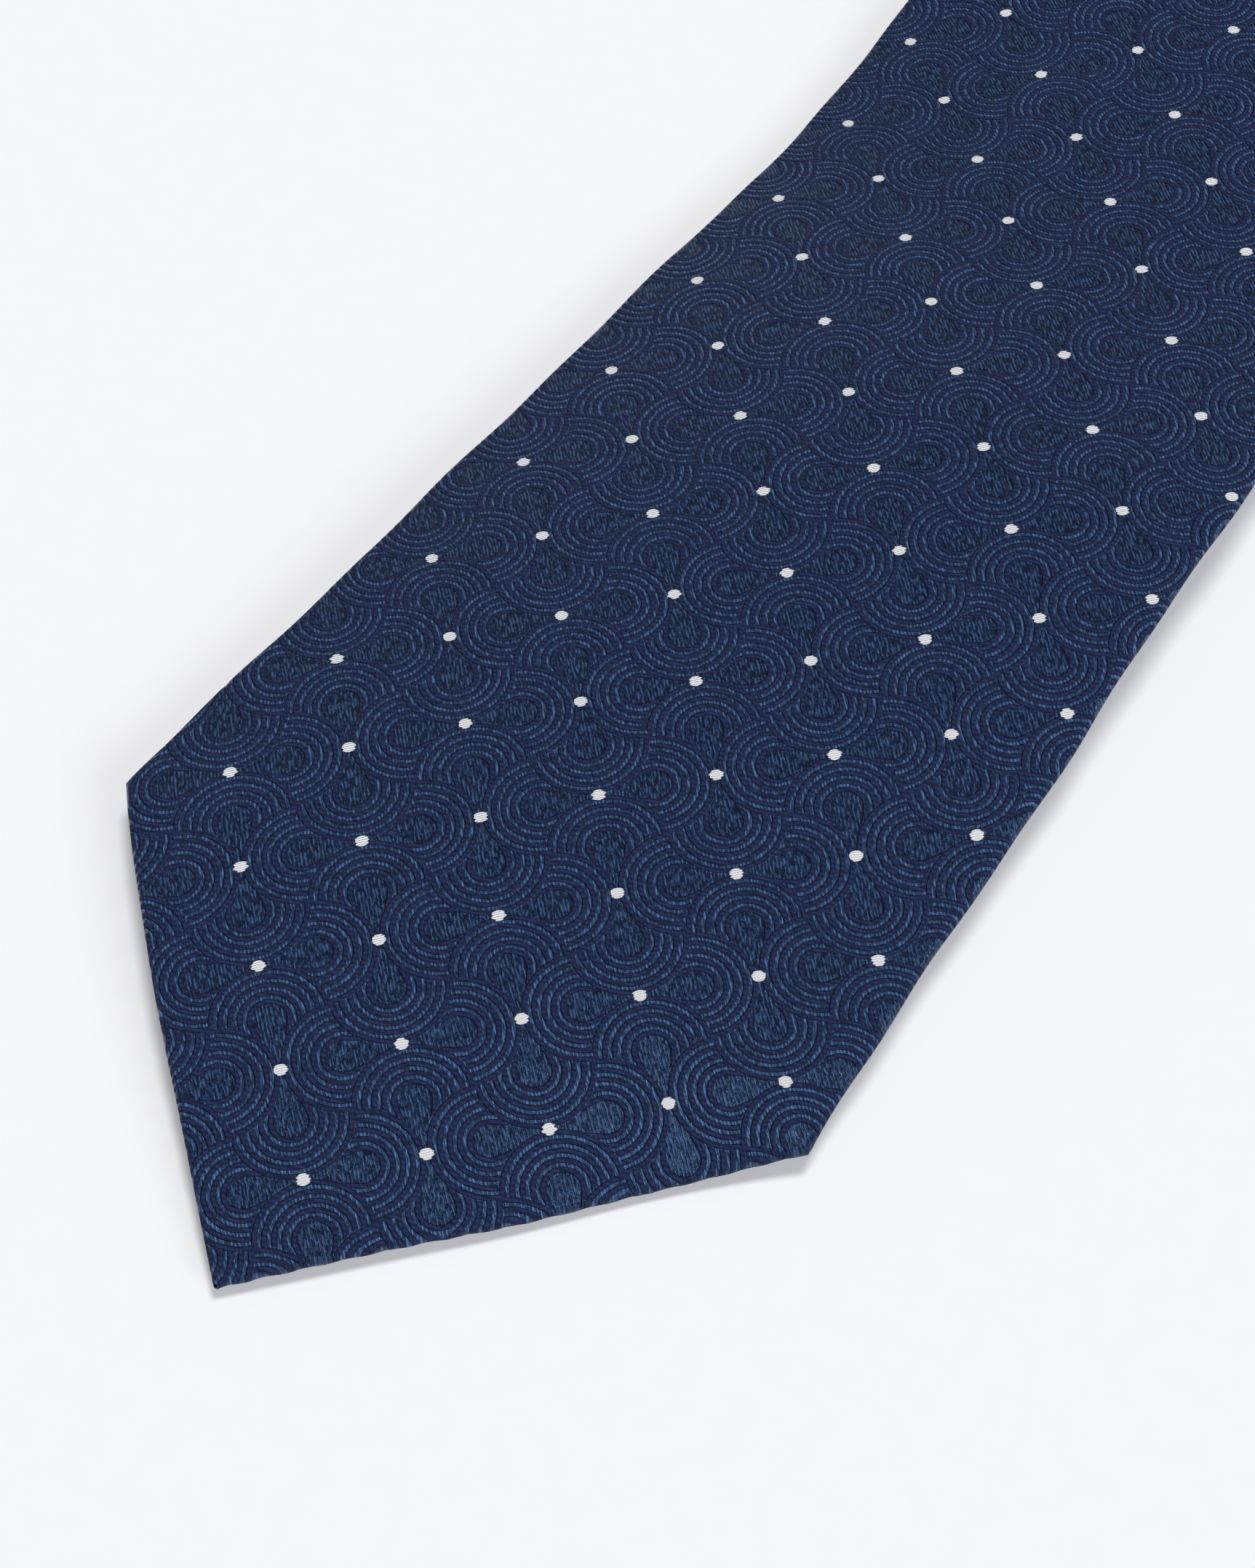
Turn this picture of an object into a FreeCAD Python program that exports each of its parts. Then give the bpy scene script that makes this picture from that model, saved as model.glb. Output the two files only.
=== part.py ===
"""A three-piece necktie, folded once at the neck and laid down with its wide blade on top.

Millimetres. X is across the tie, Y runs from the tips towards the fold, +Z is up. The origin is
under the middle of the folded tie, on the surface that it lies on.

The lower half (tail) lies face down, the upper half (blade) lies face up, and the neck gusset
turns over between them in a half circle. Each half is a flat tube of cloth with an interlining
inside, closed by one slip-stitched seam along the middle of its back.
"""
import FreeCAD, Part
import math
import os
import Sketcher

SIZES = {
    # overall
    "blade_length": 764.0,          # blade tip to the start of the fold
    "blade_width": 80.0,
    "tail_width": 40.0,
    "tail_setback": 70.0,           # the tail tip stops this far short of the blade tip
    "neck_width": 33.0,
    "fold_gap": 1.6,                # free height between the two halves
    # seams that join the three lengths of shell
    "blade_join": 600.0,            # from the blade tip
    "blade_join_width": 38.0,
    "tail_join": 500.0,             # from the tail tip
    "tail_join_width": 33.0,
    # how the blade comes down to the surface in front of the tail
    "blade_lie": 22.0,
    "blade_ramp": 38.0,
    # layers
    "cloth": 0.45,
    "interlining": 1.1,
    "seam_room": 0.5,
    "tipping": 0.2,
    "edge_ease": 0.3,
    "thread": 0.22,
    # back of each half
    "seam_slit": 0.5,
    "blade_hem": 9.0,
    "tail_hem": 5.0,
    "blade_opening": 105.0,         # from the tip to the top of the opening that shows the tipping
    "tail_opening": 62.0,
    "tipping_inset": 2.5,
    "tipping_lap": 5.0,
    # stitches
    "slip_pitch": 10.0,
    "slip_width": 3.0,
    "stitch_length": 1.8,
    "stitch_space": 4.5,
    "bar_tack_length": 6.0,
    "bar_tack_width": 1.3,
    "bar_tack_height": 0.45,
    # keeper loop on the back of the blade
    "keeper_distance": 235.0,
    "keeper_span": 46.0,
    "keeper_width": 9.0,
    "keeper_cloth": 0.6,
    "keeper_slack": 0.35,
    "keeper_turn": 5.0,
    # labels
    "label_distance": 188.0,
    "label_span": 48.0,
    "label_width": 18.0,
    "label_cloth": 0.3,
    "care_distance": 96.0,
    "care_span": 18.0,
    "care_width": 13.0,
}
MARGIN = 2.0                        # how far cutting tools reach past what they cut

doc = FreeCAD.newDocument("Necktie")
sheet = doc.addObject("Spreadsheet::Sheet", "Sizes")
for row, (alias, size) in enumerate(SIZES.items(), start=1):
    sheet.set(f"A{row}", alias)
    sheet.set(f"B{row}", str(size))
    sheet.setAlias(f"B{row}", alias)
doc.recompute()


class Dim:
    """A size with the sheet expression that gives it, so that sums of sizes stay bound."""

    def __init__(self, size, text):
        self.size = size
        self.text = text

    def join(self, sign, other, size):
        return Dim(size, f"({self.text} {sign} {dim(other).text})")

    def __add__(self, other):
        return self.join("+", other, self.size + dim(other).size)

    def __sub__(self, other):
        return self.join("-", other, self.size - dim(other).size)

    def __mul__(self, other):
        return self.join("*", other, self.size * dim(other).size)

    def __truediv__(self, other):
        return self.join("/", other, self.size / dim(other).size)

    def __neg__(self):
        return self * -1


def dim(size):
    """A Dim from a name in the sheet, a number or a Dim."""
    if isinstance(size, Dim):
        return size
    if isinstance(size, str):
        return Dim(SIZES[size], f"Sizes.{size}")
    return Dim(float(size), repr(float(size)))


def bind(obj, **sizes):
    for name, size in sizes.items():
        obj.setExpression(name, dim(size).text)
    return obj


def place(obj, x=0, y=0, z=0, turn=None):
    if turn is not None:
        obj.Placement = FreeCAD.Placement(FreeCAD.Vector(), turn)
    for axis, size in zip("xyz", (x, y, z)):
        obj.setExpression(f"Placement.Base.{axis}", dim(size).text)
    return obj


def polygon(name, points):
    """A closed sketch whose every corner is dimensioned from the origin."""
    sketch = doc.addObject("Sketcher::SketchObject", name)
    corners = [(dim(across), dim(along)) for across, along in points]
    count = len(corners)
    for index, start in enumerate(corners):
        end = corners[(index + 1) % count]
        sketch.addGeometry(
            Part.LineSegment(
                FreeCAD.Vector(start[0].size, start[1].size, 0),
                FreeCAD.Vector(end[0].size, end[1].size, 0),
            )
        )
    for index, corner in enumerate(corners):
        sketch.addConstraint(Sketcher.Constraint("Coincident", index, 2, (index + 1) % count, 1))
        for kind, size in zip(("DistanceX", "DistanceY"), corner):
            number = sketch.addConstraint(Sketcher.Constraint(kind, -1, 1, index, 1, size.size))
            sketch.setExpression(f"Constraints[{number}]", size.text)
    return sketch


def extrude(name, sketch, length, symmetric=False):
    solid = doc.addObject("Part::Extrusion", name)
    solid.Base = sketch
    solid.DirMode = "Normal"
    solid.Solid = True
    solid.Symmetric = symmetric
    return bind(solid, LengthFwd=length)


def box(name, x, y, z, length, width, height, turn=None):
    solid = bind(doc.addObject("Part::Box", name), Length=length, Width=width, Height=height)
    return place(solid, x, y, z, turn)


def common(name, first, second):
    solid = doc.addObject("Part::Common", name)
    solid.Base = first
    solid.Tool = second
    return solid


def cut(name, base, *tools):
    for index, tool in enumerate(tools, start=1):
        solid = doc.addObject("Part::Cut", f"{name}_{index}" if index < len(tools) else name)
        solid.Base = base
        solid.Tool = tool
        base = solid
    return base


def fuse(name, pieces):
    solid = doc.addObject("Part::MultiFuse", name)
    solid.Shapes = pieces
    return solid


def group(name, pieces):
    """Separate solids that make one node, such as a row of stitches."""
    solid = doc.addObject("Part::Compound", name)
    solid.Links = pieces
    return solid


nodes = {}


def node(label, obj):
    obj.Label = label
    nodes[label] = obj
    return obj


# --- the stack of layers ------------------------------------------------------------------

THICKNESS = dim("cloth") * 2 + "interlining" + "seam_room"
BLADE_HEIGHT = THICKNESS + "fold_gap"
HEIGHT = BLADE_HEIGHT + THICKNESS
KEEPER_DEPTH = dim("keeper_slack") + "keeper_cloth"
FOLD_RADIUS = HEIGHT / 2
LENGTH = dim("blade_length") + FOLD_RADIUS
BLADE_TIP = -LENGTH / 2
TAIL_TIP = BLADE_TIP + "tail_setback"
HINGE = BLADE_TIP + "blade_length"
UPRIGHT = FreeCAD.Rotation(FreeCAD.Vector(1, 1, 1), 120)        # a sketch seen from the side
DIAGONAL = FreeCAD.Rotation(FreeCAD.Vector(0, 0, 1), 45)


def layers(face_up):
    """Heights of each layer above the half's own underside, as (bottom, top)."""
    inner = {
        "outside": (dim(0), THICKNESS),
        "hollow": (dim("cloth"), THICKNESS - "cloth"),
        "back": (dim(0) - MARGIN, dim("cloth")),
        "tipping": (dim("cloth"), dim("cloth") + "tipping"),
        "seam": (dim("cloth"), dim("cloth") + "thread"),
        "hem": (dim("cloth") - "thread", dim("cloth")),
        "interlining": (dim("cloth") + "seam_room", THICKNESS - "cloth"),
        "bar_tack": (-dim("bar_tack_height"), dim(0)),
        "label": (-dim("label_cloth"), dim(0)),
        "label_thread": (-dim("label_cloth") - "thread", -dim("label_cloth")),
        "keeper_thread": (-KEEPER_DEPTH - "thread", -KEEPER_DEPTH),
    }
    if face_up:
        return inner
    return {name: (THICKNESS - top, THICKNESS - bottom) for name, (bottom, top) in inner.items()}


class Half:
    """One half of the folded tie: its tip, widths, lie and layers."""

    def __init__(self, name, face_up, tip):
        self.name = name
        self.tip = tip
        self.half_width = dim(f"{name}_width") / 2
        self.join = tip + f"{name}_join"
        self.join_half = dim(f"{name}_join_width") / 2
        self.hem = dim(f"{name}_hem")
        self.opening = tip + f"{name}_opening"
        self.layer = layers(face_up)
        self.lie = [(tip - MARGIN, dim(0)), (HINGE + MARGIN, dim(0))]
        self.level = dim(0)
        if face_up:
            ramp = tip + "blade_lie"
            self.level = BLADE_HEIGHT
            self.lie = [
                (tip - MARGIN, dim(0)),
                (ramp, dim(0)),
                (ramp + "blade_ramp", BLADE_HEIGHT),
                (HINGE + MARGIN, BLADE_HEIGHT),
            ]

    def heights(self, layer):
        bottom, top = self.layer[layer]
        return self.level + bottom, top - bottom

    def slab(self, name, outline, layer):
        """The part of a layer inside an outline seen from above."""
        bottom, top = self.layer[layer]
        low = [(y, z + bottom) for y, z in self.lie]
        high = [(y, z + top) for y, z in reversed(self.lie)]
        profile = polygon(f"{name}_profile", low + high)
        profile.Placement = FreeCAD.Placement(FreeCAD.Vector(), UPRIGHT)
        width = dim("blade_width") + "tail_width"
        band = extrude(f"{name}_band", profile, width, symmetric=True)
        seen = place(polygon(f"{name}_outline", outline), z=-MARGIN)
        prism = extrude(f"{name}_prism", seen, HEIGHT + 2 * MARGIN)
        return common(name, band, prism)

    def point(self, inset):
        """The square tip, drawn in from its edges by an inset: right shoulder, tip, left."""
        inset = dim(inset)
        half = self.half_width - inset
        shoulder = self.tip + half + inset * math.sqrt(2)
        return [(half, shoulder), (dim(0), self.tip + inset * math.sqrt(2)), (-half, shoulder)]

    def shell_outline(self, inset, past):
        """From the tip to the diagonal seam, or past it."""
        half = self.join_half - inset
        end = self.join + past
        return self.point(inset) + [(-half, end - half), (half, end + half)]

    def gusset_outline(self, inset, past):
        """From the diagonal seam to the fold, both ends past by the same amount."""
        half = self.join_half - inset
        neck = dim("neck_width") / 2 - inset
        start = self.join - past
        end = HINGE + past
        return [(half, start + half), (-half, start - half), (-neck, end), (neck, end)]

    def opening_outline(self):
        """The kite on the back where the folded flaps leave the tipping bare."""
        right, tip, left = self.point(self.hem)
        return [right, (dim(0), self.opening), left, tip]

    def shell(self, label):
        outside = self.slab(f"{label}_outside", self.shell_outline(dim(0), dim(0)), "outside")
        hollow = self.slab(f"{label}_hollow", self.shell_outline(dim("cloth"), dim(MARGIN)), "hollow")
        opening = self.slab(f"{label}_opening", self.opening_outline(), "back")
        node(label, cut(f"{label}_cut", outside, hollow, opening, self.slit(label)))

    def gusset(self, label):
        outside = self.slab(f"{label}_outside", self.gusset_outline(dim(0), dim(0)), "outside")
        hollow = self.slab(f"{label}_hollow", self.gusset_outline(dim("cloth"), dim(MARGIN)), "hollow")
        node(label, cut(f"{label}_cut", outside, hollow, self.slit(label)))

    def slit(self, label):
        """The gap between the two flaps' folded edges, along the middle of the back."""
        bottom, height = self.heights("back")
        start = self.opening - "seam_slit"
        length = HINGE + MARGIN - start
        return box(f"{label}_slit", -dim("seam_slit") / 2, start, bottom, "seam_slit", length, height)

    def lining(self, label):
        """The interlining, a woven wool blanket cut to fit inside the folded shell."""
        inset = dim("cloth") + "edge_ease"
        neck = dim("neck_width") / 2 - inset
        left, right = self.shell_outline(inset, 0)[-2:]
        sides = [left, (-neck, HINGE), (neck, HINGE), right]
        node(label, self.slab(f"{label}_slab", self.point(inset) + sides, "interlining"))

    def tipping(self, label):
        """The lining that shows in the opening, lapped under the hem and the flaps."""
        lap = dim("tipping_lap")
        right, tip, left = self.point("tipping_inset")
        top = self.opening + lap
        outline = [right, (lap, top), (-lap, top), left, tip]
        node(label, self.slab(f"{label}_slab", outline, "tipping"))

    def slip_stitch(self, label):
        """One thread up the inside of the back seam, with a cross stitch at every pitch."""
        bottom, height = self.heights("seam")
        start = self.opening + "tipping_lap" + "slip_width"
        length = HINGE - start
        pieces = [box(f"{label}_run", -dim("thread") / 2, start, bottom, "thread", length, height)]
        for index in range(int(length.size / SIZES["slip_pitch"])):
            y = start + dim("slip_pitch") * index
            name = f"{label}_cross"
            pieces.append(box(name, -dim("slip_width") / 2, y, bottom, "slip_width", "thread", height))
        node(label, fuse(f"{label}_fuse", pieces))

    def bar_tack(self, label):
        """The thick tack across the top of the opening."""
        bottom, height = self.heights("bar_tack")
        length = dim("bar_tack_length")
        y = self.opening + "tipping_lap"
        node(label, box(label, -length / 2, y, bottom, length, "bar_tack_width", height))

    def tipping_stitches(self, label):
        """Blind stitches that hold the tipping to the hem along both edges of the tip."""
        side = (self.half_width - self.hem) * math.sqrt(2)
        corner = self.tip + self.hem * math.sqrt(2)
        along = ("stitch_length", "thread", HEIGHT + MARGIN, DIAGONAL)
        across = ("thread", "stitch_length", HEIGHT + MARGIN, DIAGONAL)
        pieces = []
        for index in range(1, int(side.size / SIZES["stitch_space"])):
            reach = dim("stitch_space") * index / math.sqrt(2)
            pieces.append(box(f"{label}_right", reach, corner + reach, -MARGIN / 2, *along))
            pieces.append(box(f"{label}_left", -reach, corner + reach, -MARGIN / 2, *across))
        hem = self.slab(f"{label}_hem", self.opening_outline(), "hem")
        node(label, common(f"{label}_common", hem, group(f"{label}_rows", pieces)))

    def join_stitches(self, label):
        """The seam between shell and neck gusset, as it runs under the two flaps."""
        bottom, height = self.heights("seam")
        space = dim("stitch_space")
        room = self.join_half - "slip_width" - "stitch_length"
        offset = dim("thread") / (2 * math.sqrt(2))
        sizes = ("stitch_length", "thread", height, DIAGONAL)
        pieces = []
        for index in range(int(room.size / SIZES["stitch_space"])):
            reach = dim("slip_width") + space * index
            for x in (reach, -reach - dim("stitch_length") / math.sqrt(2)):
                pieces.append(box(label, x + offset, self.join + x - offset, bottom, *sizes))
        node(label, group(f"{label}_group", pieces))

    def on_back(self, label, distance, span, width, layer):
        """A flat piece centred on the back seam, its lower edge at a distance from the tip."""
        bottom, height = self.heights(layer)
        return box(label, -dim(span) / 2, self.tip + distance, bottom, span, width, height)

    def end_stitches(self, label, distance, span, width, layer, count):
        """A row of stitches across each end of a piece on the back."""
        bottom, height = self.heights(layer)
        space = dim(width) / count
        first = self.tip + distance + (space - "stitch_length") / 2
        edge = dim(span) / 2 - "stitch_length"
        pieces = []
        for index in range(count):
            for x in (edge, -edge - "thread"):
                sizes = ("thread", "stitch_length", height)
                pieces.append(box(label, x, first + space * index, bottom, *sizes))
        node(label, group(f"{label}_group", pieces))


def keeper_loop(half):
    """A doubled strip of the shell cloth with both ends turned under and tacked to the back."""
    reach = dim("keeper_span") / 2
    inner = reach - "keeper_turn"
    under = -dim("keeper_slack")
    points = [(-reach, -KEEPER_DEPTH), (reach, -KEEPER_DEPTH), (reach, 0), (inner, 0)]
    points += [(inner, under), (-inner, under), (-inner, 0), (-reach, 0)]
    sketch = polygon("keeper_profile", points)
    across = FreeCAD.Rotation(FreeCAD.Vector(1, 0, 0), 90)
    y = half.tip + "keeper_distance" + "keeper_width"
    place(sketch, 0, y, BLADE_HEIGHT, across)
    node("keeper_loop", extrude("keeper_strip", sketch, "keeper_width"))


def ring(name, outer, inner, width):
    """A ring about the fold's axis, as wide across the tie as the layer it turns over."""
    across = FreeCAD.Rotation(FreeCAD.Vector(0, 1, 0), 90)
    rim = bind(doc.addObject("Part::Cylinder", f"{name}_rim"), Radius=outer, Height=width)
    hole = bind(doc.addObject("Part::Cylinder", f"{name}_hole"), Radius=inner, Height=width)
    for cylinder in (rim, hole):
        place(cylinder, -dim(width) / 2, HINGE, FOLD_RADIUS, across)
    return cut(name, rim, hole)


def half_ring(name, outer, inner, width):
    """The half of a ring on the far side of the fold's axis."""
    whole = ring(f"{name}_ring", outer, inner, width)
    beyond = box(f"{name}_beyond", -dim(width), HINGE, -MARGIN, dim(width) * 2, HEIGHT, HEIGHT + 2 * MARGIN)
    return common(name, whole, beyond)


def fold():
    """The pieces that turn over between the two halves."""
    inside = dim("fold_gap") / 2
    neck = dim("neck_width")
    back = inside + "cloth"
    front = FOLD_RADIUS - "cloth"
    outside = half_ring("fold_outside", FOLD_RADIUS, inside, neck)
    hollow = ring("fold_hollow", front, back, neck - dim("cloth") * 2)
    slit = ring("fold_slit", back, inside / 2, "seam_slit")
    node("neck_gusset_fold", cut("fold_cut", outside, hollow, slit))
    width = neck - (dim("cloth") + "edge_ease") * 2
    node("interlining_fold", half_ring("fold_lining", front, front - "interlining", width))
    node("slip_stitch_fold", half_ring("fold_thread", back + "thread", back, "thread"))


blade = Half("blade", True, BLADE_TIP)
tail = Half("tail", False, TAIL_TIP)
for half in (blade, tail):
    half.shell(f"{half.name}_shell")
    half.gusset(f"neck_gusset_{half.name}_side")
    half.lining(f"{half.name}_interlining")
    half.tipping(f"{half.name}_tipping")
    half.tipping_stitches(f"{half.name}_tipping_stitches")
    half.slip_stitch(f"{half.name}_slip_stitch")
    half.join_stitches(f"{half.name}_join_stitches")
    half.bar_tack(f"{half.name}_bar_tack")
fold()
keeper_loop(blade)
KEEPER = ("keeper_distance", "keeper_span", "keeper_width", "keeper_thread")
LABEL = ("label_distance", "label_span", "label_width")
CARE = ("care_distance", "care_span", "care_width")
blade.end_stitches("keeper_loop_stitches", *KEEPER, 2)
node("woven_label", blade.on_back("label_piece", *LABEL, "label"))
blade.end_stitches("woven_label_stitches", *LABEL, "label_thread", 5)
node("care_label", tail.on_back("care_piece", *CARE, "label"))
tail.end_stitches("care_label_stitches", *CARE, "label_thread", 3)

doc.recompute()
for obj in doc.Objects:
    if "Invalid" in obj.State or "Error" in obj.State:
        raise RuntimeError(f"{obj.Name} failed: {obj.State}")
os.makedirs("parts", exist_ok=True)
for label, obj in nodes.items():
    shape = obj.Shape
    if shape.isNull() or not shape.isValid() or not shape.Solids:
        raise RuntimeError(f"{label} has no valid solid")
    shape.exportStep(f"parts/{label}.step")
    print(f"{label}: {len(shape.Solids)} solids, {shape.Volume:.1f} mm3")
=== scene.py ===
"""A navy jacquard necktie with white pin dots, folded once at the neck, blade on top.

Lengths are worked in millimetres and turned to metres when a mesh is made. Along the tie,
`s` is the distance from a half's tip and `t` the distance across from its middle line.
`depth` is measured from the front face into the tie.
"""
import bpy
import math
import numpy as np
from mathutils import Matrix, Vector


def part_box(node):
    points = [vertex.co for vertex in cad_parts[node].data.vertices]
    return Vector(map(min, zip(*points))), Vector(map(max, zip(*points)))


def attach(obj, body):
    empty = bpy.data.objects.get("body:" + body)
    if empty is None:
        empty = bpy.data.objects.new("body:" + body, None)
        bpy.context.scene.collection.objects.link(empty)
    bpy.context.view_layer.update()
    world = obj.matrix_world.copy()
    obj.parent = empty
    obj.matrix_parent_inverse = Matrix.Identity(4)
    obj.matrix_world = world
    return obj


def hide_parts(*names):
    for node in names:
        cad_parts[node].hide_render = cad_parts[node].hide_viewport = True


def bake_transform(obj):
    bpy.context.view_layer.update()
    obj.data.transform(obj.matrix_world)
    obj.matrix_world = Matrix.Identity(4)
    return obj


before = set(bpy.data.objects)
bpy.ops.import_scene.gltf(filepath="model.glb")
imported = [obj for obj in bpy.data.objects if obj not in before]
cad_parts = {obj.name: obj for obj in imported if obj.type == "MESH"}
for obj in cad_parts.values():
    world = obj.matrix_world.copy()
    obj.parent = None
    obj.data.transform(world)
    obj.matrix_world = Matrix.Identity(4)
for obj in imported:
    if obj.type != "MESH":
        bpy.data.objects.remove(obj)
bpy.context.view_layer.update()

MM = 0.001


def corners(node):
    """A CAD node's lowest and highest corner in millimetres."""
    return [np.array(corner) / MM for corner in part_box(node)]


SHELL_LOW, SHELL_HIGH = corners("blade_shell")
TAIL_LOW, TAIL_HIGH = corners("tail_shell")
FOLD_LOW, FOLD_HIGH = corners("neck_gusset_fold")
OPENING = {"blade": 105.0, "tail": 62.0}
HEM = {"blade": 9.0, "tail": 5.0}
BLADE_TIP = SHELL_LOW[1]
TAIL_TIP = TAIL_LOW[1]
HINGE = FOLD_LOW[1]
FOLD_RADIUS = (FOLD_HIGH[2] - FOLD_LOW[2]) / 2
BLADE_HALF = SHELL_HIGH[0]
TAIL_HALF = TAIL_HIGH[0]
BLADE_JOIN, BLADE_JOIN_HALF = 600.0, 19.0
TAIL_JOIN, TAIL_JOIN_HALF = 500.0, 16.5
NECK_HALF = FOLD_HIGH[0]
THICK = 2.3                       # the tie at its middle, a little less than its CAD solid
EDGE = 1.15                       # and at its pressed edges
PINCH = 7.0                       # the thickness grows over this width
CLOTH = 0.35
PITCH = 11.82                     # from one pin dot to the next, along the threads
BIAS = math.radians(45.5)         # the threads cross the tie's length at this angle
FIRST_DOT = (9.8, 38.15)          # across and along, from the tip of the blade
SEAM_GAP = 0.03                   # half the slit between the two flaps at the back seam
WOOL_FRONT, WOOL_BACK = 0.45, 1.15  # the blanket's depths
WOOL_INSET = 3.8                  # the blanket's edge, in from the shell's
NECK_WOOL_INSET = 3.0


# --- how the folded tie lies --------------------------------------------------------------
# RISE is the top's height, SWAY its middle line's shift sideways, LEAN its slope across,
# each at some distances from the blade's tip.

def through(points, at):
    """A smooth curve through a few (place, value) points."""
    place = np.array([p for p, _ in points], float)
    value = np.array([v for _, v in points], float)
    slope = np.gradient(value, place)
    k = np.clip(np.searchsorted(place, at) - 1, 0, len(place) - 2)
    span = place[k + 1] - place[k]
    f = np.clip((at - place[k]) / span, 0, 1)
    start = value[k] * (1 + 2 * f) * (1 - f) ** 2 + span * slope[k] * f * (1 - f) ** 2
    end = value[k + 1] * f * f * (3 - 2 * f) - span * slope[k + 1] * f * f * (1 - f)
    return start + end


def ease(low, high, at):
    f = np.clip((at - low) / (high - low), 0, 1)
    return f * f * (3 - 2 * f)


FOLD_TOP = 2 * FOLD_RADIUS
RISE = [(0, 2.6), (42, 6.8), (85, 9.6), (128, 10.3), (170, 7.5), (213, 6.5), (300, FOLD_TOP)]
RISE += [(500, FOLD_TOP), (764, FOLD_TOP)]
SWAY = [(0, 0.3), (20, 0.2), (40, 0.1), (80, 2.1), (125, 3.5), (160, 4.3), (213, 1.4), (300, -1.2)]
SWAY += [(420, 0), (764, 0)]
LEAN = [(0, -0.06), (30, -0.06), (48, 0.0), (71, 0.019), (142, 0.083), (213, -0.025)]
LEAN += [(320, 0), (764, 0)]
CROWN = 0.00179      # how fast the blade's top falls away from its middle line


def blade_point(s, t, depth):
    s, t, depth = np.broadcast_arrays(np.asarray(s, float), t, depth)
    turn = (through(SWAY, s + 1) - through(SWAY, s - 1)) / 2
    lift = 0.35 * ease(30, 42, s) * (1 - ease(42, 110, s))
    crown = CROWN * (1 - lift - 0.6 * ease(213, 420, s)) * (1 - ease(600, 755, s))
    x = through(SWAY, s) + t
    y = BLADE_TIP + s - t * turn
    z = through(RISE, s) + through(LEAN, s) * t - crown * t * t - depth
    z += 0.12 * np.sin(s / 9.0 + t / 14.0) * ease(0, 30, s) * (1 - ease(600, 755, s))
    from_edge = np.clip(s - np.abs(t), 0, None)
    z += 0.14 * np.sin(0.95 * (s + np.abs(t)) + 0.4 * t) * np.exp(-from_edge / 3.5)
    return np.stack([x, y, z], -1)


def tail_point(s, t, depth):
    s, t, depth = np.broadcast_arrays(np.asarray(s, float), t, depth)
    return np.stack([t, TAIL_TIP + s, depth], -1)


NECK_BLADE = HINGE - BLADE_TIP - BLADE_JOIN
NECK_TURN = math.pi * FOLD_RADIUS
NECK_TAIL = HINGE - TAIL_TIP - TAIL_JOIN
NECK = NECK_BLADE + NECK_TURN + NECK_TAIL


def neck_point(s, t, depth):
    """Along the neck gusset from the blade's seam, over the fold, to the tail's seam."""
    s, t, depth = np.broadcast_arrays(np.asarray(s, float), t, depth)
    upper = blade_point(BLADE_JOIN + np.minimum(s, NECK_BLADE), t, depth)
    angle = (s - NECK_BLADE) / FOLD_RADIUS
    radius = FOLD_RADIUS - depth
    bend = np.stack([t, HINGE + radius * np.sin(angle), FOLD_RADIUS + radius * np.cos(angle)], -1)
    lower = tail_point(TAIL_JOIN + NECK - s, t, depth)
    out = np.where((s < NECK_BLADE)[..., None], upper, bend)
    return np.where((s > NECK_BLADE + NECK_TURN)[..., None], lower, out)


# --- outlines -----------------------------------------------------------------------------

def half_width(half, s):
    full, join, at = {
        "blade": (BLADE_HALF, BLADE_JOIN, BLADE_JOIN_HALF),
        "tail": (TAIL_HALF, TAIL_JOIN, TAIL_JOIN_HALF),
    }[half]
    side = full + (at - full) * np.clip((s - full) / (join - full), 0, None)
    wear = 0.12 * np.sin(s / 6.3) + 0.1 * np.sin(s / 2.9 + 1)
    spread = 0.4 * (1 - ease(full + 10, full + 40, s))
    point = s * (1 - 0.022 * ease(full - 20, full, s))
    return np.minimum(point, side + spread) + wear * ease(0, 20, s)


def flap_edge(half, s):
    """How far the folded flap's edge is from the middle of the back."""
    hem = HEM[half] * math.sqrt(2)
    full = {"blade": BLADE_HALF, "tail": TAIL_HALF}[half]
    side = full - HEM[half]
    corner = side + hem
    rise = (OPENING[half] - s) / (OPENING[half] - corner)
    return np.clip(np.minimum(s - hem, side * rise), SEAM_GAP, None)


def lattice(t, s):
    """Cloth coordinates: along the weft and along the warp, in pin dots."""
    across = (t - FIRST_DOT[0]) / PITCH
    along = (s - FIRST_DOT[1]) / PITCH
    weft = along * math.cos(BIAS) + across * math.sin(BIAS)
    warp = along * math.sin(BIAS) - across * math.cos(BIAS)
    return np.stack([weft, warp], -1)


# --- meshes -------------------------------------------------------------------------------

def finish_piece(obj, body, material, nodes):
    obj.data.materials.append(material)
    if body == "tail_half":           # it lies face down, so its front faces the floor
        obj.data.flip_normals()
    for face in obj.data.polygons:
        face.use_smooth = True
    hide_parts(*nodes)
    if body:
        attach(obj, body)
    return obj


def make_object(name, verts, faces, uvs=None):
    mesh = bpy.data.meshes.new(name)
    mesh.from_pydata((np.asarray(verts) * MM).tolist(), [], faces)
    if uvs is not None:
        layer = mesh.uv_layers.new(name="cloth")
        index = np.empty(len(mesh.loops), int)
        mesh.loops.foreach_get("vertex_index", index)
        layer.data.foreach_set("uv", np.asarray(uvs)[index].ravel())
    obj = bpy.data.objects.new(name, mesh)
    bpy.context.scene.collection.objects.link(obj)
    return obj


def grid_faces(rows, columns):
    faces = []
    for row in range(rows - 1):
        for column in range(columns - 1):
            a = row * columns + column
            faces.append((a, a + 1, a + columns + 1, a + columns))
    return faces


def grid_object(name, points, uvs):
    rows, columns = points.shape[:2]
    faces = grid_faces(rows, columns)
    return make_object(name, points.reshape(-1, 3), faces, uvs.reshape(-1, 2))


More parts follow.
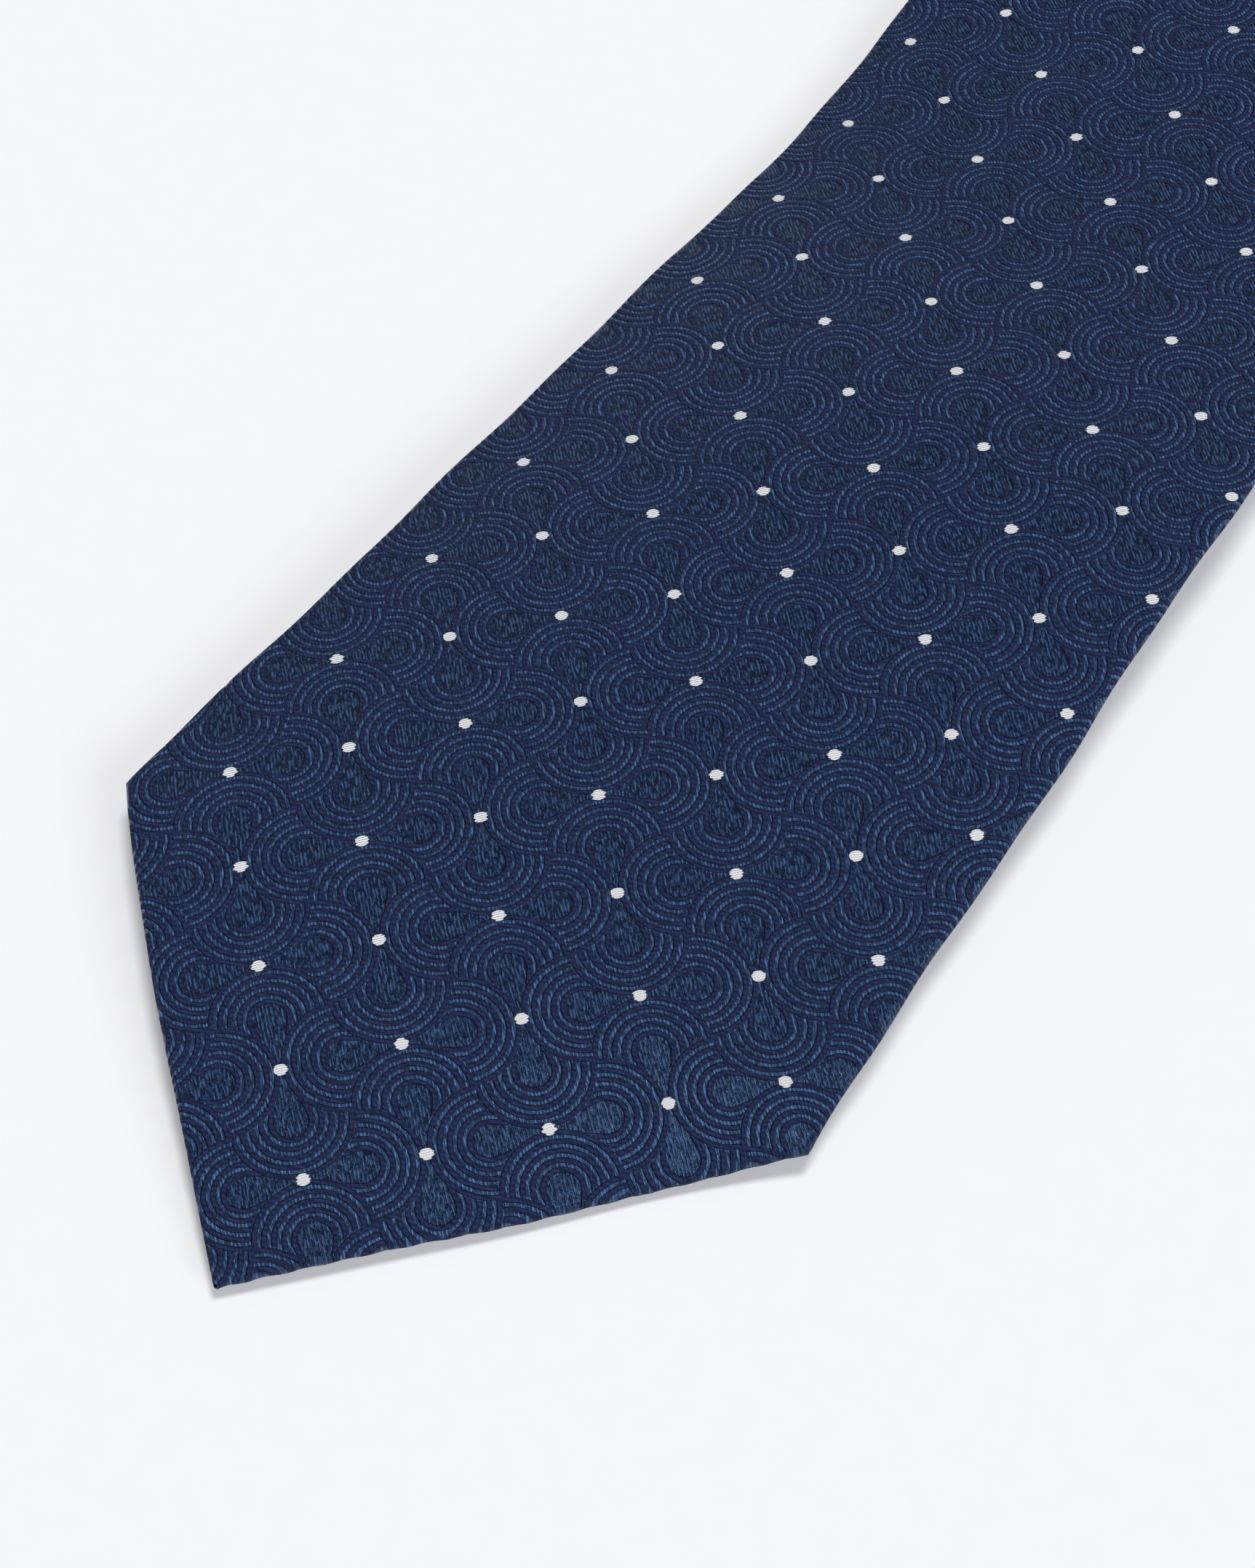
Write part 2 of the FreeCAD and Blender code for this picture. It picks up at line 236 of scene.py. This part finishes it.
def wrap(half_at, edge_at, s, front, back, roll):
    """Across one tube of cloth: from one flap's edge round the front to the other flap's.

    Gives t and depth of each point, for every row s.
    """
    half = half_at(s)[:, None]
    radius = np.minimum(EDGE / 2, half * 0.45)
    flat = half - radius
    inner = np.minimum(edge_at(s)[:, None], flat)
    u = np.linspace(0, 1, back)[None, :-1]
    turn = np.linspace(math.pi / 2, -math.pi / 2, roll)[None, :-1]
    v = np.linspace(-1, 1, front)[None, :]
    back_t = -inner + (inner - flat) * u
    roll_t = -flat - radius * np.cos(turn)
    roll_depth = EDGE / 2 * (1 + np.sin(turn)) + 0 * radius
    t = np.concatenate([back_t, roll_t, flat * v, -roll_t[:, ::-1], -back_t[:, ::-1]], 1)
    level = np.zeros_like(flat * v)
    behind = EDGE + (THICK - EDGE) * ease(0, PINCH, flat + back_t)
    depth = np.concatenate([behind, roll_depth, level, roll_depth[:, ::-1], behind[:, ::-1]], 1)
    return t, depth


def cloth_uv(t, s, depth, half):
    """On the back the cloth goes on past its folded edge, so its pattern is the mirror image."""
    behind = depth > EDGE / 2
    tip = (s < half) | (half <= s + 0.5)
    across = np.where(behind, np.sign(t) * np.where(tip, s, 2 * half - np.abs(t)), t)
    along = np.where(behind & tip, np.abs(t), s)
    return lattice(across, along)


def rows(*spans):
    """Row places from (start, end, step) spans."""
    parts = [np.arange(start, end, step) for start, end, step in spans]
    return np.concatenate(parts + [np.array([spans[-1][1]])])


def thicken(obj, thickness=CLOTH):
    modifier = obj.modifiers.new("Cloth", "SOLIDIFY")
    modifier.thickness = thickness * MM
    modifier.offset = -1
    return obj


def diagonal(s, t, end, reach):
    """Slants the rows near a seam so that the last one follows the diagonal."""
    return s + t * ease(end - reach, end, s)


def shell_cloth(name, half, point, join, s, body, node, columns):
    half_at = lambda at: half_width(half, at)
    edge_at = lambda at: flap_edge(half, at)
    t, depth = wrap(half_at, edge_at, s, *columns)
    slanted = diagonal(s[:, None], t, join, 80.0)
    points = point(slanted, t, depth)
    uvs = cloth_uv(t, slanted, depth, half_at(s)[:, None])
    obj = grid_object(name, points, uvs)
    thicken(obj)
    return finish_piece(obj, body, SILK, [node])


def neck_cloth():
    s = rows((0, NECK_BLADE - 4, 3.0), (NECK_BLADE - 4, NECK_BLADE + NECK_TURN + 4, 0.45),
             (NECK_BLADE + NECK_TURN + 4, NECK, 3.0))
    ends = [(0, BLADE_JOIN_HALF), (NECK_BLADE, NECK_HALF), (NECK, TAIL_JOIN_HALF)]
    half_at = lambda at: np.interp(at, *zip(*ends))
    t, depth = wrap(half_at, lambda at: 0 * at + SEAM_GAP, s, 60, 10, 7)
    slanted = s[:, None] + t * (1 - ease(0, 80, s))[:, None] - t * ease(NECK - 80, NECK, s)[:, None]
    uvs = cloth_uv(t, slanted + 4.3, depth, half_at(s)[:, None])
    obj = grid_object("neck_cloth", neck_point(slanted, t, depth), uvs)
    thicken(obj)
    finish_piece(obj, None, SILK,
                 ["neck_gusset_blade_side", "neck_gusset_fold", "neck_gusset_tail_side"])
    bend_over(obj)


def bend_over(obj):
    """Bakes the object's placement into its mesh."""
    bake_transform(obj)


def lining_sheet(name, point, s, half_at, low, high, material, body, nodes):
    """A flat layer between two depths, as wide as half_at says."""
    v = np.linspace(-1, 1, 33)[None, :]
    t = np.maximum(half_at(s), 0.05)[:, None] * v
    obj = grid_object(name, point(s[:, None], t, low), lattice(t, s[:, None] + 0 * t))
    flat = (2.02 * float(np.max(half_at(s))) * MM, 1.01 * float(s[-1] - s[0]) * MM)
    thicken(obj, high - low)
    finish_piece(obj, body, material, nodes)
    return obj


def stitch_bars(name, places, length, turn, body, node, depth=THICK + 0.1, wide=0.3):
    """Short raised stitches: a small arched thread at each (point function, s, t) place."""
    verts, faces = [], []
    along = np.linspace(-1, 1, 7)
    ring = np.linspace(0, 2 * math.pi, 7)[:-1]
    for point, s, t in places:
        start = len(verts)
        for f in along:
            arch = wide * 0.7 * (1 - f * f)
            taper = wide / 2 * math.sqrt(max(1 - f * f * 0.8, 0.05))
            middle_t = t + math.sin(turn) * f * length / 2
            middle_s = s + math.cos(turn) * f * length / 2
            for a in ring:
                side = taper * math.cos(a)
                at_t = middle_t + math.cos(turn) * side
                at_s = middle_s - math.sin(turn) * side
                lift = depth + arch * 0.5 + taper * math.sin(a)
                verts.append(point(at_s, at_t, lift))
        count = len(ring)
        for k in range(len(along) - 1):
            for m in range(count):
                a, b = start + k * count + m, start + k * count + (m + 1) % count
                faces.append((a, b, b + count, a + count))
        faces.append(tuple(range(start, start + count))[::-1])
        last = start + (len(along) - 1) * count
        faces.append(tuple(range(last, last + count)))
    obj = make_object(name, np.array(verts), faces)
    return finish_piece(obj, body, THREAD, node)


# --- materials ----------------------------------------------------------------------------

class Nodes:
    """Short names for the shader nodes that a material is made of."""

    def __init__(self, name):
        self.material = bpy.data.materials.new(name)
        self.material.use_nodes = True
        self.tree = self.material.node_tree
        self.shader = self.tree.nodes["Principled BSDF"]

    def new(self, kind, **settings):
        made = self.tree.nodes.new(kind)
        for key, value in settings.items():
            setattr(made, key, value)
        return made

    def feed(self, socket, value):
        if isinstance(value, bpy.types.NodeSocket):
            self.tree.links.new(value, socket)
        else:
            socket.default_value = value

    def math(self, operation, *values):
        made = self.new("ShaderNodeMath", operation=operation)
        for socket, value in zip(made.inputs, values):
            self.feed(socket, value)
        return made.outputs[0]

    def step(self, low, high, value):
        """0 at low, 1 at high, smooth between; low may be the larger."""
        made = self.new("ShaderNodeMapRange", interpolation_type="SMOOTHSTEP")
        self.feed(made.inputs["Value"], value)
        made.inputs["From Min"].default_value = min(low, high)
        made.inputs["From Max"].default_value = max(low, high)
        made.inputs["To Min"].default_value = 0.0 if low < high else 1.0
        made.inputs["To Max"].default_value = 1.0 if low < high else 0.0
        return made.outputs[0]

    def mix(self, factor, first, second):
        """Colours or numbers, by the kind of the first."""
        colour = isinstance(first, tuple) or getattr(first, "type", "") == "RGBA"
        made = self.new("ShaderNodeMix", data_type="RGBA" if colour else "FLOAT")
        at = 6 if colour else 2
        self.feed(made.inputs[0], factor)
        for offset, value in enumerate((first, second)):
            value = (*value, 1.0) if isinstance(value, tuple) else value
            self.feed(made.inputs[at + offset], value)
        return made.outputs[2 if colour else 0]

    def noise(self, vector, scale, detail=2.0):
        made = self.new("ShaderNodeTexNoise")
        self.feed(made.inputs["Vector"], vector)
        made.inputs["Scale"].default_value = scale
        made.inputs["Detail"].default_value = detail
        return made.outputs["Fac"]

    def scaled(self, x, y, across, along):
        """A vector with the two cloth coordinates stretched by different amounts."""
        made = self.new("ShaderNodeCombineXYZ")
        self.feed(made.inputs[0], self.math("MULTIPLY", x, across))
        self.feed(made.inputs[1], self.math("MULTIPLY", y, along))
        return made.outputs[0]

    def cloth(self):
        """The cloth coordinates: along the weft, along the warp."""
        made = self.new("ShaderNodeUVMap", uv_map="cloth")
        split = self.new("ShaderNodeSeparateXYZ")
        self.feed(split.inputs[0], made.outputs[0])
        return split.outputs[0], split.outputs[1]

    def bump(self, height, distance):
        made = self.new("ShaderNodeBump")
        made.inputs["Distance"].default_value = distance
        made.inputs["Strength"].default_value = 1.0
        self.feed(made.inputs["Height"], height)
        self.feed(self.shader.inputs["Normal"], made.outputs[0])

    def done(self, colour, roughness, **constants):
        self.feed(self.shader.inputs["Base Color"], colour)
        self.feed(self.shader.inputs["Roughness"], roughness)
        for name, value in constants.items():
            self.shader.inputs[name.replace("_", " ")].default_value = value
        return self.material


# The jacquard's sizes, in pin-dot pitches.
HEAD = 0.48          # from a pin dot to the middle of the round head on each side of it
HEAD_RADIUS = 0.165
STEM_RADIUS = 0.045
RING_REACH = 0.515   # how far the rings go out from a head's middle
RIB_SPACE = 0.08
DOT = 0.053          # a pin dot's radius
WARP_THREADS = 34    # threads in one pitch
DOT_FLOATS = 44      # white threads in one pitch, about five of them in a dot


def silk():
    """Jacquard: satin dumbbells at right angles to each other, with ribs in rings round them."""
    n = Nodes("navy_jacquard")
    weft, warp = n.cloth()
    u = n.math("PINGPONG", weft, 0.5)
    v = n.math("PINGPONG", warp, 0.5)
    count = n.math("ADD", n.math("ROUND", weft), n.math("ROUND", warp))
    along_weft = n.math("PINGPONG", count, 1.0)
    a = n.mix(along_weft, v, u)
    b = n.mix(along_weft, u, v)
    # rings about the next dot's head, which lies beside this dot
    aside = n.math("SUBTRACT", b, 1 - HEAD)
    ring = n.math("SQRT", n.math("ADD", n.math("MULTIPLY", a, a), n.math("MULTIPLY", aside, aside)))
    # this dot's own spoon: a round head on a narrowing stem
    lean = (HEAD_RADIUS - STEM_RADIUS) / HEAD
    rise = math.sqrt(1 - lean * lean)
    ahead = n.math("SUBTRACT", a, HEAD)
    squares = n.math("ADD", n.math("MULTIPLY", ahead, ahead), n.math("MULTIPLY", b, b))
    head = n.math("SQRT", squares)
    stem = n.math("SUBTRACT", n.math("MULTIPLY", b, rise), n.math("MULTIPLY", a, lean))
    stem = n.math("ADD", stem, HEAD_RADIUS - STEM_RADIUS)
    reach = n.math("ADD", n.math("MULTIPLY", a, rise), n.math("MULTIPLY", b, lean))
    on_head = n.math("GREATER_THAN", reach, rise * HEAD)
    own = n.mix(on_head, stem, head)
    inside_ring = n.math("LESS_THAN", ring, RING_REACH)
    field = n.mix(inside_ring, own, ring)
    count_out = n.math("DIVIDE", n.math("SUBTRACT", field, HEAD_RADIUS), RIB_SPACE)
    satin = n.step(0.05, -0.35, count_out)
    off_rib = n.math("PINGPONG", count_out, 0.5)
    rib = n.math("MULTIPLY", n.step(0.34, 0.18, off_rib), n.math("GREATER_THAN", count_out, -0.4))
    # threads, with painted sparkle, glints and highlights on them
    wander = n.noise(n.scaled(weft, warp, 3.0, 3.0), 1.0)
    warp_line = n.math("SINE", n.math("ADD", n.math("MULTIPLY", weft, WARP_THREADS * 2 * math.pi),
                                      n.math("MULTIPLY", wander, 6.0)))
    warp_line = n.math("MULTIPLY_ADD", warp_line, 0.5, 0.5)
    fleck = n.noise(n.scaled(weft, warp, 50.0, 12.0), 1.0, 3.0)
    fine = n.noise(n.scaled(weft, warp, 60.0, 30.0), 1.0, 2.0)
    dash = n.math("SINE", n.math("ADD", n.math("MULTIPLY", weft, 60.0), n.math("MULTIPLY", warp, 118.0)))
    dash = n.math("MULTIPLY_ADD", dash, 0.5, 0.5)
    # flecks where single satin threads look lighter: partly the threads' own tone, partly painted sparkle
    fleck_tone_and_sparkle = n.step(0.45, 0.60, fleck)
    # painted glints: small bright blue spots in the satin's colour that stand in for its sparkle in the
    # light
    painted_glint = n.step(0.58, 0.75, fine)
    ground = n.mix(fleck_tone_and_sparkle, (0.0035, 0.006, 0.020), (0.036, 0.074, 0.165))
    ground = n.mix(n.math("MULTIPLY", painted_glint, 0.5), ground, (0.08, 0.20, 0.46))
    gap = n.math("MULTIPLY", n.math("SUBTRACT", 1.0, warp_line), 0.8)
    plain = n.mix(gap, ground, (0.003, 0.005, 0.016))
    off_satin = n.math("SUBTRACT", 1.0, satin)
    # painted sheen: the ground between the ropes, outside the satin lobes, is made lighter blue as if its
    # threads caught the light
    between = n.math("MULTIPLY", off_satin, n.math("MULTIPLY", fleck_tone_and_sparkle, warp_line))
    between = n.math("MULTIPLY_ADD", between, 0.6, n.math("MULTIPLY", off_satin, 0.10))
    plain = n.mix(between, plain, (0.070, 0.145, 0.310))
    # rope: the dashes follow the cord's twist, and their lighter colour is a painted highlight on the
    # twists' lit tops; the flecks mixed in next are painted sparkle
    rope = n.mix(n.math("MULTIPLY", dash, 0.75), (0.004, 0.0045, 0.018), (0.016, 0.018, 0.066))
    rope = n.mix(n.math("MULTIPLY", fleck_tone_and_sparkle, 0.10), rope, (0.04, 0.065, 0.20))
    colour = n.mix(rib, plain, rope)
    # pin dots: five white floats, ragged at their ends
    ragged = n.noise(n.scaled(n.math("ROUND", weft), warp, 7.0, 44.0), 1.0, 0.0)
    ragged = n.math("MULTIPLY_ADD", ragged, 0.05, -0.025)
    span = n.math("MULTIPLY", n.math("ADD", u, ragged), 0.92)
    distance = n.math("SQRT", n.math("ADD", n.math("MULTIPLY", span, span), n.math("MULTIPLY", v, v)))
    dot = n.step(DOT + 0.004, DOT - 0.004, distance)
    float_line = n.math("SINE", n.math("MULTIPLY", warp, DOT_FLOATS * 2 * math.pi))
    float_line = n.math("MULTIPLY_ADD", float_line, 0.5, 0.5)
    white = n.mix(n.math("MULTIPLY", float_line, 0.25), (0.97, 0.97, 0.98), (0.70, 0.74, 0.82))
    colour = n.mix(dot, colour, white)
    # relief
    relief = n.math("MULTIPLY", rib, n.mix(n.math("MULTIPLY", dash, 0.35), 1.0, 0.75))
    relief = n.math("ADD", relief, n.math("MULTIPLY", warp_line, 0.13))
    relief = n.math("ADD", relief, n.math("MULTIPLY", fleck, 0.28))
    relief = n.mix(dot, relief, n.math("MULTIPLY_ADD", float_line, 0.5, 0.8))
    n.bump(relief, 0.0006)
    roughness = n.mix(rib, 0.32, 0.85)
    roughness = n.mix(dot, roughness, 0.7)
    return n.done(colour, roughness, Specular_IOR_Level=0.46,
                  Specular_Tint=(0.30, 0.55, 1.0, 1.0), Anisotropic=0.3)


def woven(name, dark, light, threads, roughness, depth, sheen=0.2):
    """Plain woven or felted cloth."""
    n = Nodes(name)
    weft, warp = n.cloth()
    over = n.math("SINE", n.math("MULTIPLY", weft, threads))
    under = n.math("SINE", n.math("MULTIPLY", warp, threads))
    weave = n.math("MULTIPLY_ADD", n.math("MULTIPLY", over, under), 0.5, 0.5)
    fuzz = n.noise(n.scaled(weft, warp, 14.0, 14.0), 1.0, 4.0)
    tone = n.math("ADD", n.math("MULTIPLY", weave, 0.5), n.math("MULTIPLY", fuzz, 0.5))
    n.bump(tone, depth)
    return n.done(n.mix(tone, dark, light), n.mix(fuzz, roughness - 0.08, roughness + 0.08),
                  Sheen_Weight=sheen)


def twisted(name, dark, light):
    """Sewing thread, by its own place, because it has no cloth coordinates."""
    n = Nodes(name)
    place = n.new("ShaderNodeTexCoord").outputs["Object"]
    wave = n.new("ShaderNodeTexWave", bands_direction="DIAGONAL")
    n.feed(wave.inputs["Vector"], place)
    wave.inputs["Scale"].default_value = 1500.0
    fuzz = n.noise(place, 4000.0)
    n.bump(wave.outputs["Fac"], 0.00004)
    return n.done(n.mix(wave.outputs["Fac"], dark, light), n.mix(fuzz, 0.45, 0.65),
                  Sheen_Weight=0.2)


SILK = silk()
WOOL = woven("wool_blanket", (0.50, 0.46, 0.39), (0.80, 0.77, 0.70), 60.0, 0.9, 0.0001, 0.5)
LINING = woven("lining_satin", (0.010, 0.015, 0.045), (0.030, 0.045, 0.12), 180.0, 0.5, 0.00003, 0.03)
THREAD = twisted("navy_thread", (0.012, 0.02, 0.07), (0.04, 0.065, 0.2))
DAMASK = woven("label_damask", (0.016, 0.024, 0.07), (0.05, 0.075, 0.19), 120.0, 0.42, 0.00004)
RIBBON = woven("care_satin", (0.46, 0.46, 0.44), (0.62, 0.62, 0.60), 200.0, 0.4, 0.00003)


# --- the pieces ---------------------------------------------------------------------------

BLADE_ROWS = rows((0.25, 6, 0.25), (6, 230, 0.8), (230, BLADE_JOIN, 3.0))
TAIL_ROWS = rows((0.25, 6, 0.25), (6, 80, 1.0), (80, TAIL_JOIN, 3.0))
neck_cloth()
shell_cloth("blade_cloth", "blade", blade_point, BLADE_JOIN, BLADE_ROWS, "blade_half", "blade_shell",
            (100, 14, 9))
shell_cloth("tail_cloth", "tail", tail_point, TAIL_JOIN, TAIL_ROWS, "tail_half", "tail_shell",
            (50, 10, 9))


def half_pieces(half, point, join, body):
    """What lies inside one half, and what is sewn to its back."""
    inside = lambda at: half_width(half, at) - WOOL_INSET
    s = rows((1.2, 60, 2.0), (60, join + 10, 8.0))
    lining_sheet(f"{half}_blanket", point, s + 2.0, lambda at: np.maximum(inside(at), 0.1),
                 WOOL_FRONT, WOOL_BACK, WOOL, body, [f"{half}_interlining"])
    top = OPENING[half] + 6
    full = {"blade": BLADE_HALF, "tail": TAIL_HALF}[half]
    tipping_half = lambda at: np.minimum(at - 3.5, np.minimum(full - 3, 8 + (top - at) * 0.62))
    lining_sheet(f"{half}_tipping_cloth", point, rows((3.8, top, 1.5)), tipping_half,
                 THICK - CLOTH - 0.35, THICK - CLOTH - 0.2, LINING, body,
                 [f"{half}_tipping"])
    hem = HEM[half] * math.sqrt(2)
    blind = [(point, hem + k * 3.2, side * (k * 3.2 + 0.4)) for side in (-1, 1)
             for k in range(1, int((full - HEM[half]) / 3.2))]
    stitch_bars(f"{half}_hem_thread", blind, 1.3, 0.0, body, [f"{half}_tipping_stitches"],
                depth=THICK - 0.1, wide=0.22)
    slip = [(point, at, 0.0) for at in np.arange(OPENING[half] + 8, join, 10.0)]
    stitch_bars(f"{half}_slip_thread", slip, 1.6, math.pi / 2, body, [f"{half}_slip_stitch"],
                depth=THICK - 0.05, wide=0.2)
    tack = [(point, OPENING[half] + 1.5 + k * 0.35, 0.0) for k in range(4)]
    stitch_bars(f"{half}_tack_thread", tack, 6.0, math.pi / 2, body, [f"{half}_bar_tack"], wide=0.38)
    seam = [(point, join + t + 0.4, t) for t in np.arange(-12, 13, 2.4) if abs(t) > 1]
    stitch_bars(f"{half}_seam_thread", seam, 1.4, math.pi / 4, body, [f"{half}_join_stitches"],
                depth=THICK - 0.03, wide=0.18)


half_pieces("blade", blade_point, BLADE_JOIN, "blade_half")
half_pieces("tail", tail_point, TAIL_JOIN, "tail_half")


def neck_insides():
    s = rows((0, NECK_BLADE, 6.0), (NECK_BLADE, NECK_BLADE + NECK_TURN, 0.8),
             (NECK_BLADE + NECK_TURN, NECK, 6.0))
    s = s[(s > 12) & (s < NECK - 12)]
    blanket = lining_sheet("neck_blanket", neck_point, s, lambda at: 0 * at + NECK_HALF - NECK_WOOL_INSET,
                           WOOL_FRONT, WOOL_BACK, WOOL, None,
                           ["interlining_fold"])
    bend_over(blanket)
    places = [(neck_point, at, 0.0) for at in np.arange(4.0, NECK - 4, 10.0)]
    thread = stitch_bars("neck_slip_thread", places, 1.6, math.pi / 2, None, ["slip_stitch_fold"],
                         depth=THICK - 0.05, wide=0.2)
    bend_over(thread)


def flat_piece(name, middle, span, width, low, thickness, material, body, node, point, bow=None):
    """A small piece of cloth on the back of a half, its edges following the cloth under it."""
    t = np.linspace(-span / 2, span / 2, 41)[None, :]
    s = middle + np.linspace(-width / 2, width / 2, 15)[:, None] + 0 * t
    lift = low + (bow(t, s - middle) if bow else 0 * t)
    obj = grid_object(name, point(s, t, lift), lattice(t + 0 * s, s + 2.7))
    thicken(obj, thickness)
    obj.modifiers["Cloth"].offset = 1
    return finish_piece(obj, body, material, [node])


def back_details():
    """The keeper loop and the two blank labels, with the stitches that hold them."""
    low, high = corners("keeper_loop")
    span, width = high[0] - low[0], high[1] - low[1]
    keeper = (low[1] + high[1]) / 2 - BLADE_TIP
    slack = lambda t, s: 0.35 * ease(0, 5, span / 2 - np.abs(t)) + 0.12 * np.cos(s * math.pi / width)
    flat_piece("keeper_band", keeper, span, width, THICK + 0.12, 0.55, SILK, "blade_half",
               "keeper_loop", blade_point, slack)
    tacks = [(blade_point, keeper + dy, side * (span / 2 - 2.2)) for side in (-1, 1) for dy in (-2.6, 2.6)]
    stitch_bars("keeper_thread", tacks, 2.0, 0.0, "blade_half", ["keeper_loop_stitches"], THICK + 0.82)
    low, high = corners("woven_label")
    span, width = high[0] - low[0], high[1] - low[1]
    label = (low[1] + high[1]) / 2 - BLADE_TIP
    flat_piece("blank_label", label, span, width, THICK + 0.08, 0.22, DAMASK,
               "blade_half", "woven_label", blade_point)
    ends = [(blade_point, label + dy, side * (span / 2 - 1.2)) for side in (-1, 1)
            for dy in np.linspace(-width / 2 + 2, width / 2 - 2, 5)]
    stitch_bars("label_thread", ends, 1.8, 0.0, "blade_half", ["woven_label_stitches"], THICK + 0.33)
    low, high = corners("care_label")
    span, width = high[0] - low[0], high[1] - low[1]
    care = (low[1] + high[1]) / 2 - TAIL_TIP
    flat_piece("blank_care_label", care, span, width, THICK + 0.08, 0.2, RIBBON,
               "tail_half", "care_label", tail_point)
    ends = [(tail_point, care + dy, side * (span / 2 - 1.2)) for side in (-1, 1)
            for dy in np.linspace(-width / 2 + 2, width / 2 - 2, 3)]
    stitch_bars("care_label_thread", ends, 1.8, 0.0, "tail_half", ["care_label_stitches"], THICK + 0.3)


neck_insides()
back_details()


# --- floor, light and camera --------------------------------------------------------------

def stage():
    n = Nodes("paper")
    place = n.new("ShaderNodeTexCoord").outputs["Object"]
    grain = n.noise(place, 300.0)
    paper = n.done(n.mix(grain, (0.44, 0.44, 0.45), (0.45, 0.45, 0.46)), 0.9, Emission_Strength=0.32)
    n.shader.inputs["Emission Color"].default_value = (0.95, 0.96, 1.0, 1)
    bpy.ops.mesh.primitive_plane_add(size=12, location=(0, 0, 0))
    floor = bpy.context.object
    floor.name = "floor"
    floor.data.materials.append(paper)


def sun(name, toward, spread, strength, colour):
    """Even light from one direction, soft like a big window's."""
    data = bpy.data.lights.new(name, "SUN")
    data.angle = math.radians(spread)
    data.energy = strength
    data.color = colour
    obj = bpy.data.objects.new(name, data)
    bpy.context.scene.collection.objects.link(obj)
    obj.rotation_euler = Vector(toward).to_track_quat("Z", "Y").to_euler()


def light():
    """Soft light from overhead and from the right, a dim surround and a pale backdrop."""
    world = bpy.data.worlds.new("studio")
    world.use_nodes = True
    tree = world.node_tree
    surround = tree.nodes["Background"]
    surround.inputs["Color"].default_value = (0.96, 0.97, 1.0, 1)
    surround.inputs["Strength"].default_value = 0.2
    backdrop = tree.nodes.new("ShaderNodeBackground")
    backdrop.inputs["Color"].default_value = (0.93, 0.94, 0.97, 1)
    seen = tree.nodes.new("ShaderNodeLightPath")
    mix = tree.nodes.new("ShaderNodeMixShader")
    tree.links.new(seen.outputs["Is Camera Ray"], mix.inputs[0])
    tree.links.new(surround.outputs[0], mix.inputs[1])
    tree.links.new(backdrop.outputs[0], mix.inputs[2])
    tree.links.new(mix.outputs[0], tree.nodes["World Output"].inputs["Surface"])
    bpy.context.scene.world = world
    bpy.context.scene.view_settings.view_transform = "Standard"
    sun("overhead", (0.12, 0.11, 0.986), 16, 2.9, (1.0, 0.99, 0.97))
    sun("side", (0.76, -0.28, 0.50), 30, 1.8, (0.93, 0.96, 1.0))


LENS = 93.974                     # for a frame 36 mm tall
CAMERA_EYE = (144.4, -129.8, 332.2)               # from the blade's tip, before it is raised
CAMERA_TURN = (2.5483, (2.4393, 0.6809, -0.2825))  # an angle about an axis
CAMERA_RAISE = 0.036              # the slope of the blade near its tip, off the floor
TIP_HEIGHT = 2.3


def camera():
    """A long lens from the lower right, looking steeply down."""
    data = bpy.data.cameras.new("camera")
    data.sensor_fit = "VERTICAL"
    data.sensor_height = 36.0
    data.lens = LENS
    data.clip_start = 0.01
    obj = bpy.data.objects.new("camera", data)
    bpy.context.scene.collection.objects.link(obj)
    look = Matrix.Rotation(CAMERA_TURN[0], 3, Vector(CAMERA_TURN[1]).normalized()).transposed()
    flip = Matrix(((1, 0, 0), (0, -1, 0), (0, 0, -1)))
    raised = Matrix.Rotation(CAMERA_RAISE, 3, "X")
    place = raised @ Vector(CAMERA_EYE) + Vector((0, BLADE_TIP, TIP_HEIGHT))
    obj.matrix_world = Matrix.Translation(place * MM) @ (raised @ look @ flip).to_4x4()
    bpy.context.scene.camera = obj


stage()
light()
camera()
bpy.context.view_layer.update()
